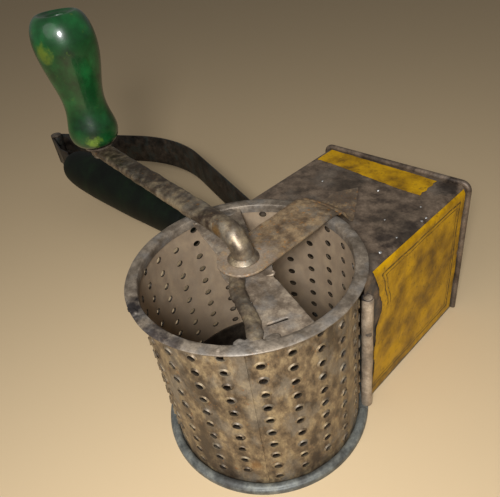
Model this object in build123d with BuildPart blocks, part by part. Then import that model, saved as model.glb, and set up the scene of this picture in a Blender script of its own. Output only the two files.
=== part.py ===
from build123d import *

import os
from math import cos, radians, sin

os.makedirs("parts", exist_ok=True)

# Hand-cranked rotary cabbage shredder, in millimetres.
# The origin is on the drum's axis, on the face that stands on the table. +Z is up, the hopper opens
# towards +Y, the paper label faces +X and the handle points towards -X.

# Sheet, wire and clearances
tin = 0.5                    # hopper and drum sheet
floor_sheet = 0.6            # back plate
spring_sheet = 1.0           # lever and bearing strap
running_fit = 0.06           # radial play of a turning shaft in its hole
slip = 0.05                  # radial play of a wire or rivet in its own seat
paper = 0.15

# Drum
drum_radius = 41.4           # outside of the wall
drum_bottom = 0.9
rim_top = 81.2
rim_radius = 45.0
rim_sheet = 0.8
rim_collar_height = 3.0
rim_collar_sheet = 0.4
end_sheet = 0.8
end_cup_bottom = 1.2
end_cup_height = 11.3

# Grating holes
hole_columns = 24
hole_rows = 10
hole_pitch = 7.2             # along the drum
hole_stagger_steps = 3       # columns before the slanting rows repeat
top_hole_low = 71.0          # height of the top hole in the lowest kind of column
first_column_angle = -39.4   # the column just past the wall's lap seam
seam_gap_angle = 16.8        # from the last column over the seam to the first
hole_width = 3.3             # round the drum
hole_height = 2.7            # along the drum

# Web across the open end
web_sheet = 0.8
web_top = 80.0
web_angle = -26.0
web_hub_radius = 12.4
web_hub_half_width = 7.0
web_rim_half_width = 11.5
web_slot_width = 1.0
web_slot_length = 7.5
web_slot_radius = 33.0

# Crank
rod_radius = 4.25
crank_angle = 173.5
crank_length = 118.3
arm_rise = 13.0              # the arm's centre line above the web
arm_width = 9.7
arm_thickness = 4.2
bend_radius = 8.0
swage_start = 16.0
swage_end = 27.0
foot_angle = -40.5
foot_width = 5.75
foot_thickness = 1.8
foot_reach = 40.2
tenon_radius = 2.5
tenon_length = 2.0
collar_radius = 6.9
collar_height = 1.5
collar_edge = 0.5

# Knob
knob_base_gap = 0.3
washer_radius = 7.0
washer_sheet = 0.8
knob_height = 61.5
knob_foot_face = 8.9
knob_foot_radius = 12.3
knob_neck_radius = 10.5
knob_shoulder_radius = 12.8
knob_head_radius = 14.4
knob_brow_radius = 13.1
knob_crown_face = 8.2
knob_foot_level = 0.13       # shares of the knob's height
knob_neck_level = 0.37
knob_shoulder_level = 0.6
knob_head_level = 0.78
knob_brow_level = 0.93
spindle_radius = 2.5
spindle_head_radius = 4.2
spindle_head_height = 1.4
recess_depth = 3.0
recess_play = 0.5

# Hopper
hopper_left = -41.7
hopper_right = 35.4
hopper_top = 73.2
mouth_y = 105.8
hopper_corner = 3.5
left_front = 20.0
right_front = 26.0
drum_clearance = 1.8         # top plate's edge to the drum wall
bead_radius = 2.2
bead_top = 64.0
bead_stand_off = 0.8         # bead's centre outside the wall
wire_radius = 1.55
hem_radius = 1.3
hem_wire_radius = 0.7
hem_overlap = 0.3            # side walls stop this short of the hem's centre

# Back plate and rear pivot
pan_radius = 45.5
pan_lip_width = 2.8
pan_lip_height = 2.0
pan_lip_round = 1.2
pan_lip_left_angle = 157.0   # the lip runs from the left bead round the front to the right bead
pan_lip_arc = 233.0
pivot_radius = 3.0
pivot_height = 6.5
pivot_head_radius = 5.2
pivot_head_height = 1.2
bush_radius = 7.0
bush_height = 4.2
bush_edge = 0.6
bush_bore_room = 0.24       # end cup's hole round the pivot

# Bearing strap
strap_width = 20.5
strap_top = 83.4
strap_eye_radius = 10.25
strap_crest_y = 47.4
strap_drop = 3.2             # run of the slope behind the crest
strap_foot_end = 77.7
strap_foot_tip_x = -4.0
strap_foot_left_y = 68.5     # the foot's pointed end starts here on its left edge
strap_foot_right_y = 54.0
strap_crest_radius = 3.0
strap_notch = 1.4

# Handle
handle_z = 32.0
tang_y = 49.0
tang_height = 12.0
tang_thickness = 2.0
tang_flange_length = 24.0
tang_flange_height = 24.0
tang_flange_sheet = 1.5
tang_rivet_spacing_y = 9.6
tang_rivet_spacing_z = 12.0
grip_inner_x = -95.0
grip_outer_x = -249.0
grip_belly_radius = 15.0
grip_inner_radius = 12.3
grip_shoulder_radius = 13.1
grip_shoulder_inset = 12.0
grip_face_radius = 9.3
grip_belly_inset = 58.0
grip_waist_radius = 13.7
grip_waist_inset = 35.0
grip_edge_width = 2.0
grip_edge_drop = 1.5
tang_play = 0.2
grip_pin_radius = 1.5
grip_pin_inset = 16.0
grip_pin_reach = 11.9         # pins stop just under the wood's skin

# Press lever
hinge_x = -291.0
hinge_y = 59.0
hinge_pin_radius = 2.5
knuckle_sheet = 1.6
knuckle_gap = 0.3
knuckle_lead = 2.0           # straight run of the bracket before its knuckle
bracket_bend = 0.8
bracket_gap = 2.0            # bracket's edge to the grip's end
bracket_lap = 12.0
lever_height = 22.0
lever_apex_x = -191.8
lever_apex_y = 111.0
lever_bow_radius = 95.0
lever_wall_y = 63.2          # where the lever passes the left wall
press_y = 57.6               # lever's centre line behind the presser
press_reach = 15.0
press_rivet_spacing = 16.0
lever_end_bend = 6.0
slot_play = 1.5
slot_start_y = 50.6

# Presser
presser_sheet = 1.0
presser_left = -32.0
presser_right = 31.0
presser_bottom = 4.0
presser_height = 66.0
presser_flat = 16.0          # half of its flat middle
presser_wing_drop = 9.5

# Rivets
rivet_radius = 1.6
rivet_head_radius = 3.2
rivet_head_height = 1.1
rivet_head_taper = 20.0

# Labels
side_label_near = 31.0
side_label_far = 102.4
side_label_bottom = 2.0
side_label_top = 69.5        # the sheet folds over above this
side_label_tear = 6.0        # depth of the torn near edge
top_label_left = -36.0
top_label_right = 22.0
top_label_near = 86.5
top_label_far = 102.4

# Derived places
hopper_width = hopper_right - hopper_left
hopper_mid_x = (hopper_right + hopper_left) / 2
drum_inner = drum_radius - tin
column_spacing = (360 - seam_gap_angle) / (hole_columns - 1)
wall_top = rim_top - rim_sheet
collar_outer = drum_inner - slip
collar_inner = collar_outer - rim_collar_sheet
web_radius = collar_inner - slip
top_cut_radius = drum_radius + drum_clearance
strap_middle = strap_top - spring_sheet / 2
crank_x = crank_length * cos(radians(crank_angle))
crank_y = crank_length * sin(radians(crank_angle))
arm_height = web_top + arm_rise
arm_top = arm_height + arm_thickness / 2
arm_bottom = arm_height - arm_thickness / 2
knob_base = arm_top + washer_sheet + knob_base_gap
knob_top = knob_base + knob_height
recess_floor = knob_top - recess_depth
end_cup_floor = end_cup_bottom + end_sheet
right_bead_x = hopper_right + bead_stand_off
left_bead_x = hopper_left - bead_stand_off
right_bead_y = right_front + tin
left_bead_y = left_front + tin
hem_y = mouth_y - hem_radius
knuckle_inner = hinge_pin_radius + running_fit
knuckle_outer = knuckle_inner + knuckle_sheet
lever_bottom = handle_z - lever_height / 2
lever_top = handle_z + lever_height / 2
middle_knuckle = lever_height / 3
slot_bottom = lever_bottom - slot_play
slot_height = lever_height + 2 * slot_play
bracket_x = grip_outer_x - bracket_gap
presser_face_y = press_y - (spring_sheet + presser_sheet) / 2


def radial_plane(angle, z):
    """Flat plane at height z whose x axis points outwards at the given angle."""
    a = radians(angle)
    return Plane(origin=(0, 0, z), x_dir=(cos(a), sin(a), 0), z_dir=(0, 0, 1))


def upright_plane(angle):
    """Standing plane through the drum's axis: x runs outwards at the angle, y is up."""
    a = radians(angle)
    return Plane(origin=(0, 0, 0), x_dir=(cos(a), sin(a), 0), z_dir=(sin(a), -cos(a), 0))


def column_plane(column):
    """Plane just inside the drum wall that faces outwards at a column of holes: x round, y up."""
    a = radians(first_column_angle + column * column_spacing)
    place = ((drum_inner - tin) * cos(a), (drum_inner - tin) * sin(a), 0)
    return Plane(origin=place, x_dir=(-sin(a), cos(a), 0), z_dir=(cos(a), sin(a), 0))


def hole_places(step):
    """Centres of one column's holes: each kind of column starts a third of a pitch higher."""
    top = top_hole_low + step * hole_pitch / hole_stagger_steps
    return [(0, top - row * hole_pitch) for row in range(hole_rows)]


def arm_section(distance):
    """Plane square to the crank arm at a distance from the drum's axis."""
    a = radians(crank_angle)
    place = (distance * cos(a), distance * sin(a), arm_height)
    return Plane(origin=place, x_dir=(-sin(a), cos(a), 0), z_dir=(cos(a), sin(a), 0))


def keep(piece, name):
    """Name a finished piece and write its file."""
    piece.part.label = name
    export_step(piece.part, f"parts/{name}.step")


# Back plate: the hopper's floor and the round pan that the drum's foot turns in
with BuildPart() as back_plate:
    with BuildSketch():
        Circle(pan_radius)
        with Locations((hopper_mid_x, mouth_y / 2)):
            Rectangle(hopper_width, mouth_y)
        Circle(pivot_radius + slip, mode=Mode.SUBTRACT)
    extrude(amount=floor_sheet)
    with BuildSketch(upright_plane(pan_lip_left_angle)) as pan_lip:
        with Locations((pan_radius, 0)):
            Rectangle(pan_lip_width, floor_sheet + pan_lip_height, align=(Align.MAX, Align.MIN))
        fillet(pan_lip.vertices().group_by(Axis.Y)[-1], pan_lip_round)
    revolve(axis=Axis.Z, revolution_arc=pan_lip_arc)
keep(back_plate, "back_plate")

# Hopper: one sheet folded into the top and both sides, with rolled edges
with BuildPart() as hopper_shell:
    with BuildSketch(Plane.XZ.offset(-left_front)):
        with BuildLine():
            FilletPolyline(
                (hopper_left, floor_sheet),
                (hopper_left, hopper_top),
                (hopper_right, hopper_top),
                (hopper_right, floor_sheet),
                radius=hopper_corner,
            )
            FilletPolyline(
                (hopper_left + tin, floor_sheet),
                (hopper_left + tin, hopper_top - tin),
                (hopper_right - tin, hopper_top - tin),
                (hopper_right - tin, floor_sheet),
                radius=hopper_corner - tin,
            )
            Line((hopper_left, floor_sheet), (hopper_left + tin, floor_sheet))
            Line((hopper_right, floor_sheet), (hopper_right - tin, floor_sheet))
        make_face()
    extrude(amount=-(hem_y - hem_overlap - left_front))
    with BuildSketch(Plane.XY.offset(floor_sheet)):
        with Locations((hopper_right, left_front)):
            Rectangle(4 * tin, 2 * (right_front - left_front))
    extrude(amount=hopper_top - 2 * tin - floor_sheet, mode=Mode.SUBTRACT)
    with BuildSketch(Plane.XY.offset(floor_sheet)):
        with Locations((left_bead_x, left_bead_y), (right_bead_x, right_bead_y)):
            Circle(bead_radius)
    extrude(amount=bead_top - floor_sheet)
    with BuildLine(Plane.XZ.offset(-hem_y)) as hem_path:
        FilletPolyline(
            (hopper_left + tin - hem_radius, floor_sheet),
            (hopper_left + tin - hem_radius, hopper_top - tin + hem_radius),
            (hopper_right - tin + hem_radius, hopper_top - tin + hem_radius),
            (hopper_right - tin + hem_radius, floor_sheet),
            radius=hopper_corner,
        )
    with BuildSketch(Plane.XY.offset(floor_sheet)):
        with Locations((hopper_left + tin - hem_radius, hem_y)):
            Circle(hem_radius)
            Circle(hem_wire_radius + slip, mode=Mode.SUBTRACT)
    sweep(path=hem_path.wire())
    with BuildSketch(Plane.XY.offset(floor_sheet)):
        with Locations((left_bead_x, left_bead_y), (right_bead_x, right_bead_y)):
            Circle(wire_radius + slip)
    extrude(amount=bead_top - floor_sheet, mode=Mode.SUBTRACT)
    with BuildSketch(Plane.XY.offset(hopper_top - hopper_corner - tin)):
        Circle(top_cut_radius)
    extrude(amount=2 * hopper_corner, mode=Mode.SUBTRACT)
    with BuildSketch(Plane.XY.offset(slot_bottom)):
        with Locations((hopper_left, slot_start_y)):
            Rectangle(8 * tin, mouth_y, align=(Align.CENTER, Align.MIN))
    extrude(amount=slot_height, mode=Mode.SUBTRACT)
keep(hopper_shell, "hopper_shell")

# Wires inside the two rolled front edges
with BuildPart() as edge_wires:
    with BuildSketch(Plane.XY.offset(floor_sheet)):
        with Locations((left_bead_x, left_bead_y), (right_bead_x, right_bead_y)):
            Circle(wire_radius)
    extrude(amount=bead_top - floor_sheet - 2 * tin)
keep(edge_wires, "edge_wires")

# Wire inside the rolled mouth, from above the lever's slot round to the right foot
with BuildPart() as mouth_wire:
    with BuildLine(Plane.XZ.offset(-hem_y)) as mouth_wire_path:
        FilletPolyline(
            (hopper_left + tin - hem_radius, slot_bottom + slot_height + tin),
            (hopper_left + tin - hem_radius, hopper_top - tin + hem_radius),
            (hopper_right - tin + hem_radius, hopper_top - tin + hem_radius),
            (hopper_right - tin + hem_radius, floor_sheet),
            radius=hopper_corner,
        )
    with BuildSketch(Plane.XY.offset(slot_bottom + slot_height + tin)):
        with Locations((hopper_left + tin - hem_radius, hem_y)):
            Circle(hem_wire_radius)
    sweep(path=mouth_wire_path.wire())
keep(mouth_wire, "mouth_wire")

# Rear pivot: a rivet through the back plate, with a flat head above the drum's bush
with BuildPart() as rear_pivot:
    Cylinder(pivot_radius, pivot_height, align=(Align.CENTER, Align.CENTER, Align.MIN))
    with Locations((0, 0, pivot_height)):
        Cylinder(pivot_head_radius, pivot_head_height, align=(Align.CENTER, Align.CENTER, Align.MIN))
    chamfer(rear_pivot.edges().group_by(Axis.Z)[-1], 0.3 * pivot_head_height)
keep(rear_pivot, "rear_pivot")

# Bearing strap: a sheet bridge over the rim, with the eye that the crank turns in
with BuildPart() as bearing_strap:
    with BuildSketch(Plane.YZ):
        with BuildLine():
            FilletPolyline(
                (-strap_eye_radius, strap_middle),
                (strap_crest_y, strap_middle),
                (strap_crest_y + strap_drop, hopper_top + spring_sheet / 2),
                (strap_foot_end, hopper_top + spring_sheet / 2),
                radius=strap_crest_radius,
            )
        trace(line_width=spring_sheet)
    extrude(amount=strap_width / 2, both=True)
    with BuildSketch(Plane.XY.offset(hopper_top - tin)):
        Circle(strap_eye_radius)
        with BuildLine():
            Polyline(
                (-strap_width / 2, 0),
                (-strap_width / 2, strap_foot_left_y),
                (strap_foot_tip_x, strap_foot_end),
                (strap_width / 2, strap_foot_right_y),
                (strap_width / 2, 0),
                close=True,
            )
        make_face()
        Circle(rod_radius + running_fit, mode=Mode.SUBTRACT)
        with Locations((-strap_width / 2, strap_eye_radius + strap_notch)):
            RegularPolygon(strap_notch, 3, rotation=30, mode=Mode.SUBTRACT)
    extrude(amount=strap_top - hopper_top + 2 * tin, mode=Mode.INTERSECT)
keep(bearing_strap, "bearing_strap")

# Handle tang: a flat bar through the grip, bent forward into a flange on the left wall
with BuildPart() as handle_tang:
    with BuildSketch(Plane.YZ.offset(hopper_left - tang_flange_sheet)):
        with Locations((tang_y + tang_thickness / 2, handle_z)):
            Rectangle(tang_flange_length, tang_flange_height, align=(Align.MAX, Align.CENTER))
            fillet(vertices(), 3 * tang_flange_sheet)
        with Locations((tang_y - tang_flange_length / 2, handle_z)):
            with GridLocations(tang_rivet_spacing_y, tang_rivet_spacing_z, 2, 2):
                Circle(rivet_radius + slip, mode=Mode.SUBTRACT)
    extrude(amount=tang_flange_sheet)
    with BuildSketch(Plane.YZ.offset(hopper_left - tang_flange_sheet)):
        with Locations((tang_y, handle_z)):
            Rectangle(tang_thickness, tang_height)
    extrude(amount=-(hopper_left - tang_flange_sheet - bracket_x + bracket_lap - 2 * spring_sheet))
    with BuildSketch(Plane.XZ.offset(-tang_y)):
        with Locations((grip_inner_x - grip_pin_inset, handle_z), (grip_outer_x + grip_pin_inset, handle_z)):
            Circle(grip_pin_radius + slip)
        with Locations((bracket_x - bracket_lap / 2, handle_z)):
            Circle(rivet_radius + slip)
    extrude(amount=tang_thickness, both=True, mode=Mode.SUBTRACT)
keep(handle_tang, "handle_tang")

# Rivets that hold the flange on the wall, and the hinge bracket on the tang
with BuildPart() as tang_rivets:
    with BuildSketch(Plane.YZ.offset(hopper_left - tang_flange_sheet)):
        with Locations((tang_y - tang_flange_length / 2, handle_z)):
            with GridLocations(tang_rivet_spacing_y, tang_rivet_spacing_z, 2, 2):
                Circle(rivet_head_radius)
    extrude(amount=-rivet_head_height, taper=rivet_head_taper)
    with BuildSketch(Plane.YZ.offset(hopper_left - tang_flange_sheet)):
        with Locations((tang_y - tang_flange_length / 2, handle_z)):
            with GridLocations(tang_rivet_spacing_y, tang_rivet_spacing_z, 2, 2):
                Circle(rivet_radius)
    extrude(amount=tang_flange_sheet)
keep(tang_rivets, "tang_rivets")

# Grip: turned wood with a slot right through for the tang
with BuildPart() as grip:
    with BuildSketch(Plane.XY.offset(handle_z)):
        with BuildLine():
            Line((grip_outer_x, tang_y), (grip_outer_x, tang_y + grip_face_radius))
            Spline(
                (grip_outer_x, tang_y + grip_face_radius),
                (grip_outer_x + grip_shoulder_inset, tang_y + grip_shoulder_radius),
                (grip_outer_x + grip_belly_inset, tang_y + grip_belly_radius),
                (grip_inner_x - grip_waist_inset, tang_y + grip_waist_radius),
                (grip_inner_x - grip_edge_width, tang_y + grip_inner_radius),
                tangents=((0.35, 1), (1, -0.1)),
            )
            Line(
                (grip_inner_x - grip_edge_width, tang_y + grip_inner_radius),
                (grip_inner_x, tang_y + grip_inner_radius - grip_edge_drop),
            )
            Line((grip_inner_x, tang_y + grip_inner_radius - grip_edge_drop), (grip_inner_x, tang_y))
            Line((grip_inner_x, tang_y), (grip_outer_x, tang_y))
        make_face()
    revolve(axis=Axis((0, tang_y, handle_z), (1, 0, 0)))
    with BuildSketch(Plane.YZ.offset(grip_outer_x)):
        with Locations((tang_y, handle_z)):
            Rectangle(tang_thickness + 2 * tang_play, tang_height + 2 * tang_play)
    extrude(amount=grip_inner_x - grip_outer_x, mode=Mode.SUBTRACT)
    with BuildSketch(Plane.XZ.offset(-tang_y)):
        with Locations((grip_inner_x - grip_pin_inset, handle_z), (grip_outer_x + grip_pin_inset, handle_z)):
            Circle(grip_pin_radius + slip)
    extrude(amount=grip_belly_radius, both=True, mode=Mode.SUBTRACT)
keep(grip, "grip")

# Cross pins that keep the grip on its tang
with BuildPart() as grip_pins:
    with BuildSketch(Plane.XZ.offset(-tang_y)):
        with Locations((grip_inner_x - grip_pin_inset, handle_z), (grip_outer_x + grip_pin_inset, handle_z)):
            Circle(grip_pin_radius)
    extrude(amount=grip_pin_reach, both=True)
keep(grip_pins, "grip_pins")

# Hinge bracket: a plate riveted behind the tang's end, rolled into the middle knuckle
with BuildPart() as hinge_bracket:
    with BuildSketch(Plane.XY.offset(handle_z)):
        with BuildLine():
            FilletPolyline(
                (bracket_x, tang_y - (tang_thickness + spring_sheet) / 2),
                (bracket_x - bracket_lap, tang_y - (tang_thickness + spring_sheet) / 2),
                (hinge_x + knuckle_lead, hinge_y - knuckle_outer + spring_sheet / 2),
                (hinge_x, hinge_y - knuckle_outer + spring_sheet / 2),
                radius=bracket_bend,
            )
        trace(line_width=spring_sheet)
    extrude(amount=lever_height / 2, both=True)
    with BuildSketch(Plane.XY.offset(handle_z)):
        with Locations((hinge_x, hinge_y)):
            Circle(knuckle_outer + knuckle_gap)
    extrude(amount=lever_height, both=True, mode=Mode.SUBTRACT)
    with BuildSketch(Plane.XY.offset(handle_z)):
        with Locations((hinge_x, hinge_y)):
            Circle(knuckle_outer)
        with BuildLine():
            Polyline(
                (hinge_x, hinge_y),
                (hinge_x, hinge_y - knuckle_outer),
                (hinge_x + 2 * knuckle_outer, hinge_y - knuckle_outer),
                (hinge_x + 2 * knuckle_outer, hinge_y),
                close=True,
            )
        make_face()
        with Locations((hinge_x, hinge_y)):
            Circle(knuckle_inner, mode=Mode.SUBTRACT)
    extrude(amount=middle_knuckle / 2 - knuckle_gap, both=True)
    with BuildSketch(Plane.XZ.offset(-tang_y)):
        with Locations((bracket_x - bracket_lap / 2, handle_z)):
            Circle(rivet_radius + slip)
    extrude(amount=tang_thickness, both=True, mode=Mode.SUBTRACT)
keep(hinge_bracket, "hinge_bracket")

# Rivet through the bracket and the tang
with BuildPart() as bracket_rivet:
    with BuildSketch(Plane.XZ.offset(-(tang_y + tang_thickness / 2))):
        with Locations((bracket_x - bracket_lap / 2, handle_z)):
            Circle(rivet_radius)
    extrude(amount=tang_thickness + spring_sheet)
    with BuildSketch(Plane.XZ.offset(-(tang_y - tang_thickness / 2 - spring_sheet))):
        with Locations((bracket_x - bracket_lap / 2, handle_z)):
            Circle(rivet_head_radius)
    extrude(amount=rivet_head_height, taper=rivet_head_taper)
keep(bracket_rivet, "bracket_rivet")

# Hinge pin of the lever
with BuildPart() as hinge_pin:
    with Locations((hinge_x, hinge_y, lever_bottom - knuckle_gap)):
        Cylinder(
            hinge_pin_radius,
            lever_height + 2 * knuckle_gap,
            align=(Align.CENTER, Align.CENTER, Align.MIN),
        )
    with Locations((hinge_x, hinge_y, lever_top + knuckle_gap)):
        Cylinder(knuckle_outer, rivet_head_height, align=(Align.CENTER, Align.CENTER, Align.MIN))
    with Locations((hinge_x, hinge_y, lever_bottom - knuckle_gap)):
        Cylinder(knuckle_outer, rivet_head_height, align=(Align.CENTER, Align.CENTER, Align.MAX))
    chamfer(hinge_pin.edges().group_by(Axis.Z)[-1], 0.4 * rivet_head_height)
    chamfer(hinge_pin.edges().group_by(Axis.Z)[0], 0.4 * rivet_head_height)
keep(hinge_pin, "hinge_pin")

# Press lever: a bowed spring-steel strip from the hinge, through the wall's slot, to the presser
lever_slope = (lever_apex_y - lever_wall_y) / (hopper_left - lever_apex_x)
lever_bend_x = hopper_left + (lever_wall_y - press_y) / lever_slope
with BuildPart() as press_lever:
    with BuildSketch(Plane.XY.offset(handle_z)):
        with BuildLine():
            FilletPolyline(
                (hinge_x - 0.42 * knuckle_outer, hinge_y + knuckle_outer - spring_sheet / 2),
                (lever_apex_x, lever_apex_y),
                (lever_bend_x, press_y),
                (press_reach, press_y),
                radius=[lever_bow_radius, lever_end_bend],
            )
        trace(line_width=spring_sheet)
    extrude(amount=lever_height / 2, both=True)
    with BuildSketch(Plane.XY.offset(lever_bottom)):
        with Locations((hinge_x, hinge_y)):
            Circle(knuckle_outer)
    extrude(amount=lever_height)
    with BuildSketch(Plane.XY.offset(handle_z)):
        with Locations((hinge_x, hinge_y)):
            Circle(knuckle_outer + knuckle_gap)
    extrude(amount=middle_knuckle / 2, both=True, mode=Mode.SUBTRACT)
    with BuildSketch(Plane.XY.offset(lever_bottom)):
        with Locations((hinge_x, hinge_y)):
            Circle(knuckle_inner)
    extrude(amount=lever_height, mode=Mode.SUBTRACT)
    with BuildSketch(Plane.XZ.offset(-press_y)):
        with Locations((0, handle_z)):
            with GridLocations(press_rivet_spacing, 0, 2, 1):
                Circle(rivet_radius + slip)
    extrude(amount=spring_sheet, both=True, mode=Mode.SUBTRACT)
keep(press_lever, "press_lever")

# Presser: a plate with two wings bent towards the drum
with BuildPart() as presser_plate:
    with BuildSketch(Plane.XY.offset(presser_bottom)):
        with BuildLine():
            FilletPolyline(
                (presser_left, presser_face_y - presser_wing_drop),
                (-presser_flat, presser_face_y),
                (presser_flat, presser_face_y),
                (presser_right, presser_face_y - presser_wing_drop),
                radius=2 * presser_sheet,
            )
        trace(line_width=presser_sheet)
    extrude(amount=presser_height)
    with BuildSketch(Plane.XZ.offset(-presser_face_y)):
        with Locations((0, handle_z)):
            with GridLocations(press_rivet_spacing, 0, 2, 1):
                Circle(rivet_radius + slip)
    extrude(amount=presser_sheet, both=True, mode=Mode.SUBTRACT)
keep(presser_plate, "presser_plate")

# Rivets between the lever and the presser
with BuildPart() as presser_rivets:
    with BuildSketch(Plane.XZ.offset(-(presser_face_y - presser_sheet / 2))):
        with Locations((0, handle_z)):
            with GridLocations(press_rivet_spacing, 0, 2, 1):
                Circle(rivet_radius)
    extrude(amount=-(presser_sheet + spring_sheet))
    with BuildSketch(Plane.XZ.offset(-(press_y + spring_sheet / 2))):
        with Locations((0, handle_z)):
            with GridLocations(press_rivet_spacing, 0, 2, 1):
                Circle(rivet_head_radius)
    extrude(amount=-rivet_head_height, taper=rivet_head_taper)
keep(presser_rivets, "presser_rivets")

# Drum wall, with its grating holes in slanting rows
with BuildPart() as drum_shell:
    with BuildSketch(Plane.XY.offset(drum_bottom)):
        Circle(drum_radius)
        Circle(drum_inner, mode=Mode.SUBTRACT)
    extrude(amount=wall_top - drum_bottom)
    for step in range(hole_stagger_steps):
        planes = [column_plane(column) for column in range(step, hole_columns, hole_stagger_steps)]
        with BuildSketch(*planes):
            with Locations(*hole_places(step)):
                Ellipse(hole_width / 2, hole_height / 2)
    extrude(amount=3 * tin, mode=Mode.SUBTRACT)
keep(drum_shell, "drum_shell")

# Rim: a flanged ring soldered into the open end
with BuildPart() as drum_rim:
    with BuildSketch(Plane.XZ):
        with Locations((collar_inner, wall_top - rim_collar_height)):
            Rectangle(
                collar_outer - collar_inner,
                rim_collar_height + rim_sheet,
                align=(Align.MIN, Align.MIN),
            )
        with Locations((collar_inner, wall_top)):
            Rectangle(rim_radius - collar_inner, rim_sheet, align=(Align.MIN, Align.MIN))
    revolve(axis=Axis.Z)
    rim_edges = drum_rim.edges().filter_by(GeomType.CIRCLE).group_by(SortBy.RADIUS)[-1]
    fillet(rim_edges, 0.4 * rim_sheet)
keep(drum_rim, "drum_rim")

# Web: two flared arms across the open end, soldered inside the rim
with BuildPart() as drum_web:
    with BuildSketch(radial_plane(web_angle, web_top - web_sheet)):
        Circle(web_hub_radius)
        with BuildLine():
            Polyline(
                (rim_radius, web_rim_half_width),
                (rim_radius, -web_rim_half_width),
                (web_hub_radius / 2, -web_hub_half_width),
                (-web_hub_radius / 2, -web_hub_half_width),
                (-rim_radius, -web_rim_half_width),
                (-rim_radius, web_rim_half_width),
                (-web_hub_radius / 2, web_hub_half_width),
                (web_hub_radius / 2, web_hub_half_width),
                close=True,
            )
        make_face()
        Circle(web_radius, mode=Mode.INTERSECT)
        Circle(tenon_radius + slip, mode=Mode.SUBTRACT)
        with Locations((web_slot_radius, 0)):
            Rectangle(web_slot_width, web_slot_length, mode=Mode.SUBTRACT)
    extrude(amount=web_sheet)
keep(drum_web, "drum_web")

# End cup that closes the drum's foot
with BuildPart() as drum_end_cup:
    with BuildSketch(Plane.XY.offset(end_cup_bottom)):
        Circle(collar_outer)
    extrude(amount=end_cup_height)
    with BuildSketch(Plane.XY.offset(end_cup_floor)):
        Circle(collar_outer - end_sheet)
    extrude(amount=end_cup_height, mode=Mode.SUBTRACT)
    with BuildSketch(Plane.XY.offset(end_cup_bottom)):
        Circle(pivot_radius + bush_bore_room)
    extrude(amount=end_cup_height, mode=Mode.SUBTRACT)
keep(drum_end_cup, "drum_end_cup")

# Bush on the end cup that turns on the rear pivot
with BuildPart() as rear_bush:
    with BuildSketch(Plane.XY.offset(end_cup_floor)):
        Circle(bush_radius)
        Circle(pivot_radius + running_fit, mode=Mode.SUBTRACT)
    extrude(amount=bush_height)
    chamfer(rear_bush.edges().group_by(Axis.Z)[-1].sort_by(SortBy.RADIUS)[-1], bush_edge)
keep(rear_bush, "rear_bush")

# Crank: one rod, upright through the strap's eye, bent over and hammered flat towards the knob
with BuildPart() as crank:
    with BuildLine(upright_plane(crank_angle)) as crank_path:
        FilletPolyline((0, web_top), (0, arm_height), (swage_start, arm_height), radius=bend_radius)
    with BuildSketch(Plane.XY.offset(web_top)):
        Circle(rod_radius)
    sweep(path=crank_path.wire())
    with BuildSketch(arm_section(swage_start)):
        Circle(rod_radius)
    with BuildSketch(arm_section(swage_end)):
        RectangleRounded(arm_width, arm_thickness, 0.45 * arm_thickness)
    loft()
    with BuildSketch(arm_section(swage_end)):
        RectangleRounded(arm_width, arm_thickness, 0.45 * arm_thickness)
    extrude(amount=crank_length - swage_end)
    with Locations((crank_x, crank_y, arm_height)):
        Cylinder(arm_width / 2, arm_thickness)
    with BuildSketch(Plane.XY.offset(arm_bottom)):
        with Locations((crank_x, crank_y)):
            Circle(spindle_radius + slip)
    extrude(amount=arm_thickness, mode=Mode.SUBTRACT)
    with BuildSketch(radial_plane(foot_angle, web_top)):
        with Locations((foot_reach / 2, 0)):
            Rectangle(foot_reach, foot_width)
    extrude(amount=foot_thickness)
    with Locations((0, 0, web_top)):
        Cylinder(tenon_radius, tenon_length, align=(Align.CENTER, Align.CENTER, Align.MAX))
keep(crank, "crank")

# Collar that rides on the strap's eye
with BuildPart() as shaft_collar:
    with BuildSketch(Plane.XY.offset(strap_top + running_fit)):
        Circle(collar_radius)
        Circle(rod_radius + slip / 2, mode=Mode.SUBTRACT)
    extrude(amount=collar_height)
    chamfer(shaft_collar.edges().group_by(Axis.Z)[-1].sort_by(SortBy.RADIUS)[-1], collar_edge)
keep(shaft_collar, "shaft_collar")

# Washer under the knob
with BuildPart() as knob_washer:
    with BuildSketch(Plane.XY.offset(arm_top)):
        with Locations((crank_x, crank_y)):
            Circle(washer_radius)
            Circle(spindle_radius + slip, mode=Mode.SUBTRACT)
    extrude(amount=washer_sheet)
keep(knob_washer, "knob_washer")

# Spindle riveted in the arm, with a head sunk in the knob's top
with BuildPart() as knob_spindle:
    with Locations((crank_x, crank_y, arm_bottom)):
        Cylinder(spindle_head_radius, spindle_head_height, align=(Align.CENTER, Align.CENTER, Align.MAX))
        Cylinder(
            spindle_radius,
            recess_floor + knob_base_gap - arm_bottom,
            align=(Align.CENTER, Align.CENTER, Align.MIN),
        )
    with Locations((crank_x, crank_y, recess_floor + knob_base_gap)):
        Cylinder(spindle_head_radius, spindle_head_height, align=(Align.CENTER, Align.CENTER, Align.MIN))
    fillet(knob_spindle.edges().group_by(Axis.Z)[-1], 0.4 * spindle_head_height)
    fillet(knob_spindle.edges().group_by(Axis.Z)[0], 0.4 * spindle_head_height)
keep(knob_spindle, "knob_spindle")

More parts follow.
